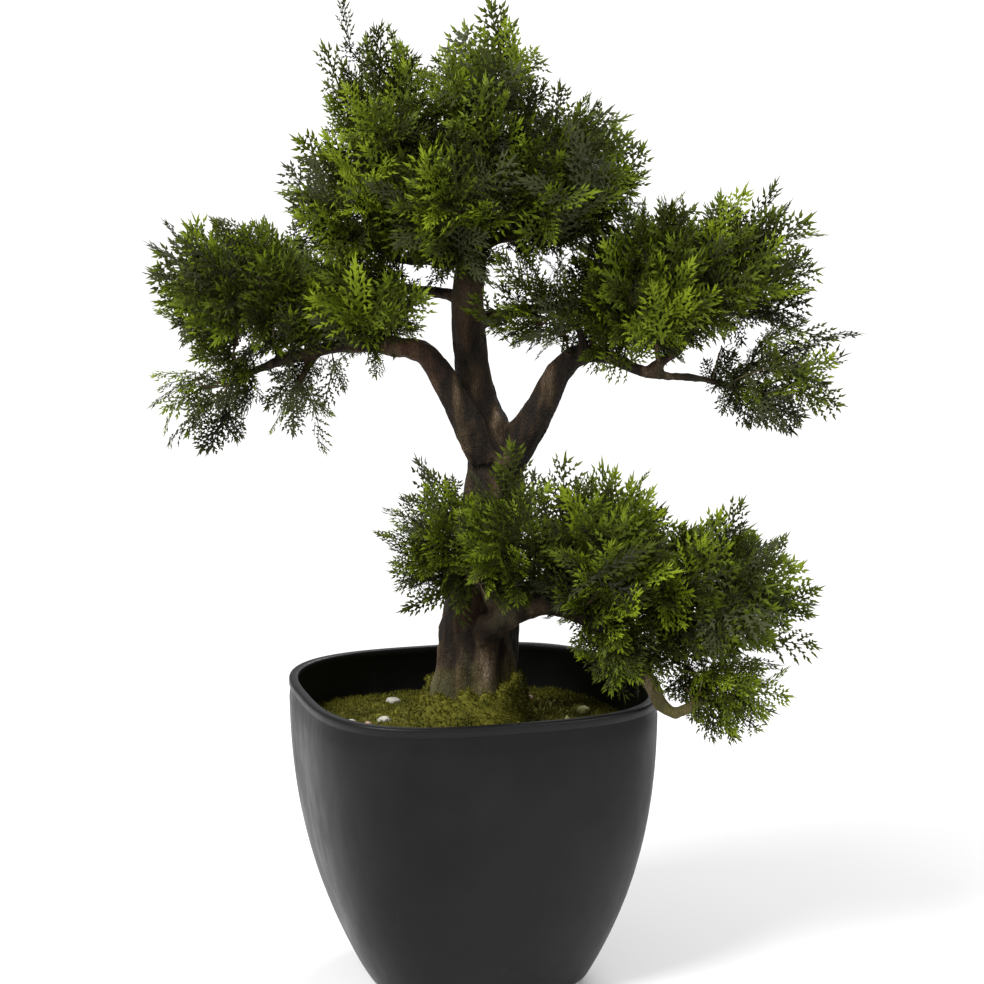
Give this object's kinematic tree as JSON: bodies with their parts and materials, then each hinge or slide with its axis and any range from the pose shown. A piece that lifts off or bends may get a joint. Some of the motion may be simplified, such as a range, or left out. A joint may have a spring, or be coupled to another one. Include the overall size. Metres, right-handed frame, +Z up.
{
  "type": "cedar bonsai",
  "caption": "Artificial cedar bonsai: a tapering trunk, arching boughs with pads of cedar foliage and a low drooping pad, standing in moss in a rounded-square flared planter.",
  "frame": {"origin": "centre of the planter's flat underside", "axes": "+Z up, +X to the right and -Y to the front as the picture shows the tree"},
  "size_m": [0.3525, 0.1912, 0.499],
  "materials": {
    "planter": "matte",
    "plug": "matte",
    "moss": "matte",
    "wood": "matte",
    "foliage": "matte"
  },
  "bodies": {
    "root": {"pot": "planter", "plug": "plug", "moss_bed": "moss", "trunk": "wood", "bough_left_rise": "wood", "bough_left_reach": "wood", "bough_left_riser": "wood", "bough_left_dropper": "wood", "bough_right_rise": "wood", "bough_right_reach": "wood", "bough_right_riser": "wood", "bough_right_fan": "wood", "bough_low_rise": "wood", "bough_low_reach": "wood", "bough_low_hook": "wood", "bough_low_branch": "wood", "bough_low_spur": "wood", "bough_low_back": "wood", "bough_high_left": "wood", "bough_high_right": "wood", "bough_front_high": "wood", "bough_peak_left": "wood", "bough_back_left": "wood", "bough_back_right": "wood", "bough_back_high": "wood", "bough_back_high_right": "wood", "mass_peak": "foliage", "mass_peak_left": "foliage", "mass_crown_left": "foliage", "mass_crown_front": "foliage", "mass_crown_back": "foliage", "mass_crown_right": "foliage", "mass_crown_right_back": "foliage", "mass_left_inner": "foliage", "mass_left_outer": "foliage", "mass_left_back": "foliage", "mass_left_droop": "foliage", "mass_left_droop_inner": "foliage", "mass_right_fan": "foliage", "mass_right_inner": "foliage", "mass_right_outer": "foliage", "mass_right_back": "foliage", "mass_right_droop": "foliage", "mass_low_left": "foliage", "mass_low_front": "foliage", "mass_low_middle": "foliage", "mass_low_right": "foliage", "mass_low_inner": "foliage", "mass_low_droop": "foliage", "mass_low_back": "foliage"}
  },
  "joints": []
}
